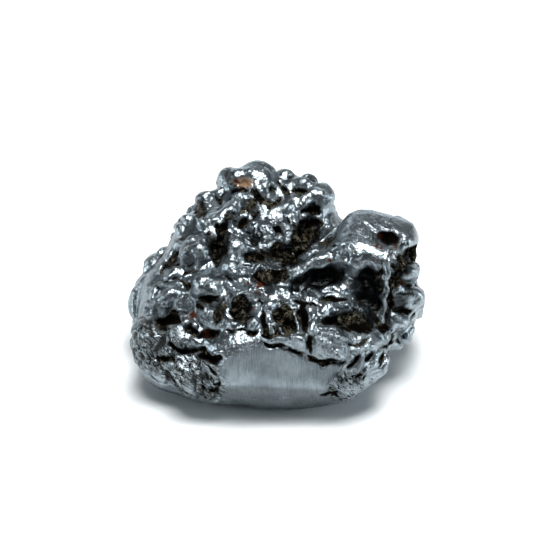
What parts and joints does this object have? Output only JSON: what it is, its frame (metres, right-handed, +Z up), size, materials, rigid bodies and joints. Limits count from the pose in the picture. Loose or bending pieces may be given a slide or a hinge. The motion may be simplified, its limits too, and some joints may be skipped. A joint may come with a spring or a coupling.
{
  "type": "meteorite",
  "caption": "Knobbed and pitted iron nodule with a smooth pressed front face and a small flat underside to rest on.",
  "frame": {"origin": "on the resting plane, under the middle of the stone's bounding box", "axes": "+Z up from the table, +Y away from the smooth front face, +X to the right of the front face"},
  "size_m": [0.0486, 0.0396, 0.0278],
  "materials": {
    "iron": "dark tumbled iron, bright on the knobs, brown dirt in the pits and a few rust spots"
  },
  "bodies": {
    "root": {"meteorite": "iron"}
  },
  "joints": []
}
